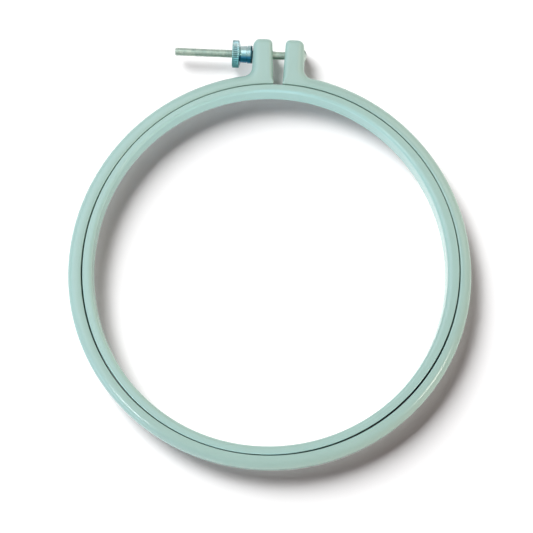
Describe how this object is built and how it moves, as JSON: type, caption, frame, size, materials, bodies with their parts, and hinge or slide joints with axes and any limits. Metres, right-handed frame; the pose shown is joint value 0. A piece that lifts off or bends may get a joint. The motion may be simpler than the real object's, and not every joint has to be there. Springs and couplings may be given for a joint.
{
  "type": "embroidery hoop",
  "caption": "Round screw-tightened plastic embroidery hoop: a closed inner ring inside a split outer ring, drawn together at its ears by a long screw with a knurled thumb nut.",
  "frame": {"origin": "centre of the work opening, on the rings' axis, halfway up the rings", "axes": "+Z along the rings' axis, up as the hoop lies flat; +Y towards the clamp ears; +X along the clamp screw, towards its head"},
  "size_m": [0.1628, 0.1779, 0.0116],
  "materials": {
    "outer_plastic": "semi-gloss moulded, pale sea green",
    "inner_plastic": "semi-gloss moulded, pale sea green",
    "screw_metal": "bright zinc plating, machine thread",
    "nut_metal": "bright zinc plating, turned, knurled rim"
  },
  "bodies": {
    "outer_hoop": {"outer_ring": "outer_plastic"},
    "inner_hoop": {"inner_ring": "inner_plastic"},
    "screw": {"clamp_screw": "screw_metal"},
    "nut": {"thumb_nut": "nut_metal"}
  },
  "joints": [
    {"name": "nut_turn", "type": "hinge", "parent": "outer_hoop", "child": "nut", "pos_m": [-0.015, 0.09065, 0], "axis": [-1, 0, 0], "range_deg": [0, 14040.1]},
    {"name": "screw_draw", "type": "slide", "parent": "outer_hoop", "child": "screw", "axis": [1, 0, 0], "range_m": [0, 0.0234]},
    {"name": "inner_ring_lift", "type": "slide", "parent": "outer_hoop", "child": "inner_hoop", "axis": [0, 0, 1], "range_m": [0, 0.016]}
  ],
  "couplings": [
    {"joint": "nut_turn", "follows": "screw_draw", "rad_per_m": 10472}
  ]
}
